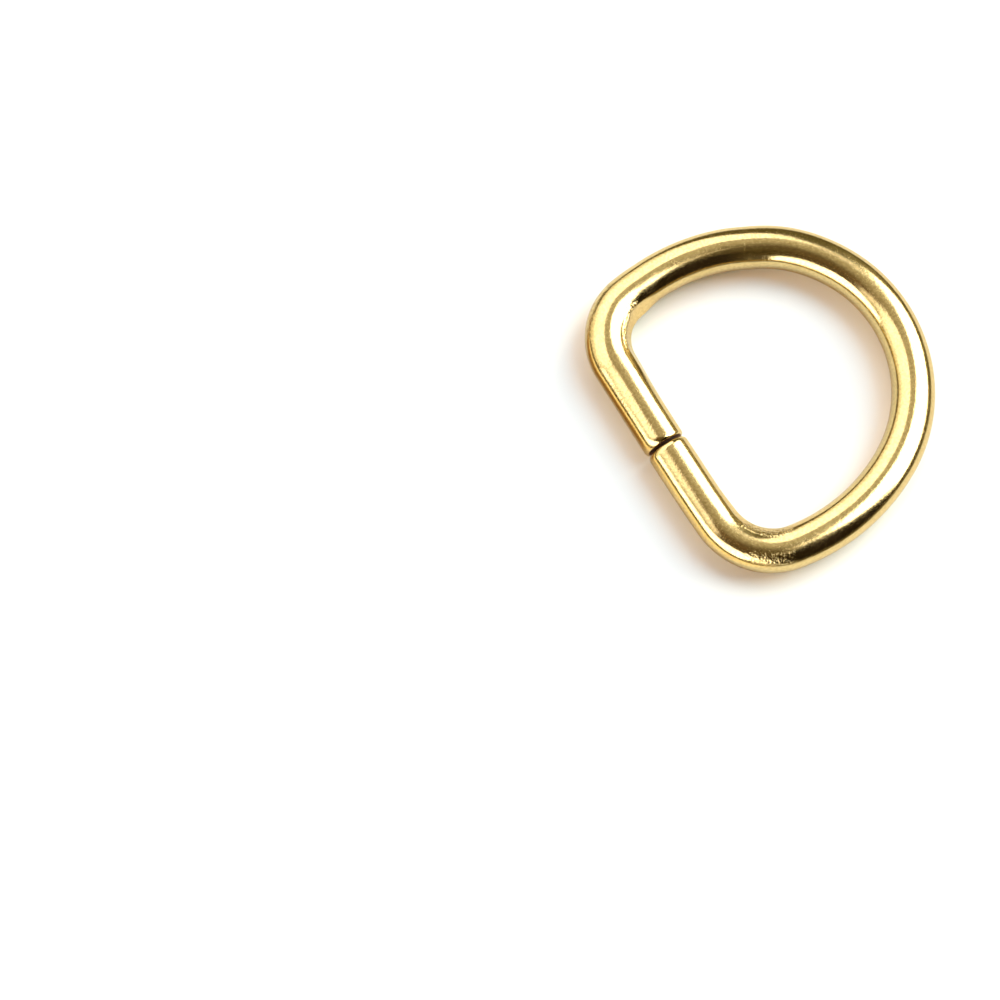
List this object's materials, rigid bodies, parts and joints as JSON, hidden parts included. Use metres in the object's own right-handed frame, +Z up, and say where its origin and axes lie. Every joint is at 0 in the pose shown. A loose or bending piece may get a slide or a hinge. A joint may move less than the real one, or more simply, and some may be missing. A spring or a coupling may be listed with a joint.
{
  "type": "d ring",
  "caption": "D-shaped metal ring bent from one round wire, its two ends butted in the middle of the straight strap bar, with a polished pale gold finish",
  "frame": {"origin": "middle of the ring's outer box in plan, on the floor the ring lies on", "axes": "+X runs along the straight bar, towards the rounder corner; +Y points from the bar to the top of the bow; +Z is up, through the ring's opening"},
  "size_m": [0.0326, 0.028, 0.004],
  "materials": {
    "gold": "polished"
  },
  "bodies": {
    "root": {"ring": "gold"}
  },
  "joints": []
}
